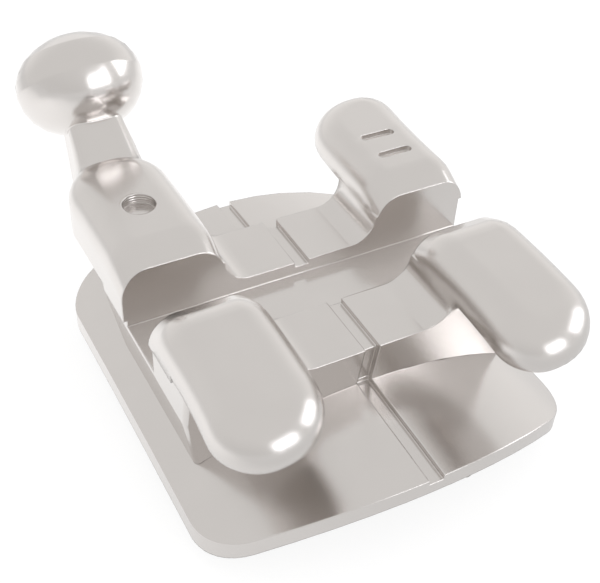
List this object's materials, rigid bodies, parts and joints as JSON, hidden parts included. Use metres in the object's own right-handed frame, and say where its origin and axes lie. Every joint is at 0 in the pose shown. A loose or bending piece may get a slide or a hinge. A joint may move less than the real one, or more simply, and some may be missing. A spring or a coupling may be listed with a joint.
{
  "type": "orthodontic bracket",
  "caption": "Twin orthodontic bracket of polished stainless steel with a ball hook, two pairs of tie wings, an open archwire slot and a contoured bonding pad backed with mesh.",
  "frame": {"origin": "middle of the archwire slot's floor", "axes": "+X along the archwire slot, +Y towards the gum, the side with the ball hook, +Z away from the tooth"},
  "size_m": [0.0034, 0.0048, 0.0026],
  "materials": {
    "polished_steel": "polished",
    "pad_steel": "polished",
    "mesh_steel": "satin"
  },
  "bodies": {
    "root": {"bracket_body": "polished_steel", "base_pad": "pad_steel", "retention_mesh": "mesh_steel"}
  },
  "joints": []
}
